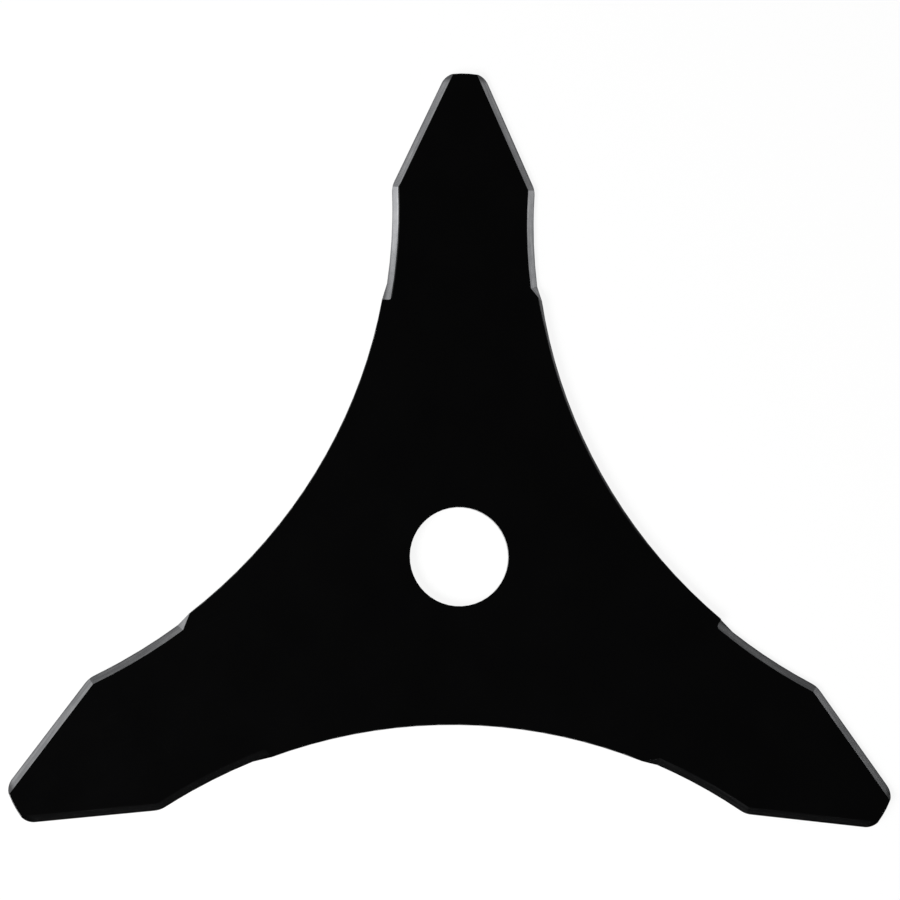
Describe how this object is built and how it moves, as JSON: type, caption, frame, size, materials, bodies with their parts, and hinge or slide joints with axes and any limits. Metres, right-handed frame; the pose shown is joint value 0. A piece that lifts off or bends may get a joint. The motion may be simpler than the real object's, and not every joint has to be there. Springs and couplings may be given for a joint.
{
  "type": "brush cutter blade",
  "caption": "Flat toothed steel brush cutter blade with a round mounting bore, concave sides between its teeth and ground bevels along every tooth.",
  "frame": {"origin": "on the bore axis, at the underside of the plate", "axes": "+Z along the bore axis, towards the bevelled upper face; +Y along one tooth; +X to the right of that tooth seen from above"},
  "size_m": [0.2242, 0.1954, 0.002],
  "materials": {
    "blade_steel": "black semi-gloss paint, with bare ground steel on the bevels"
  },
  "bodies": {
    "root": {"blade": "blade_steel"}
  },
  "joints": []
}
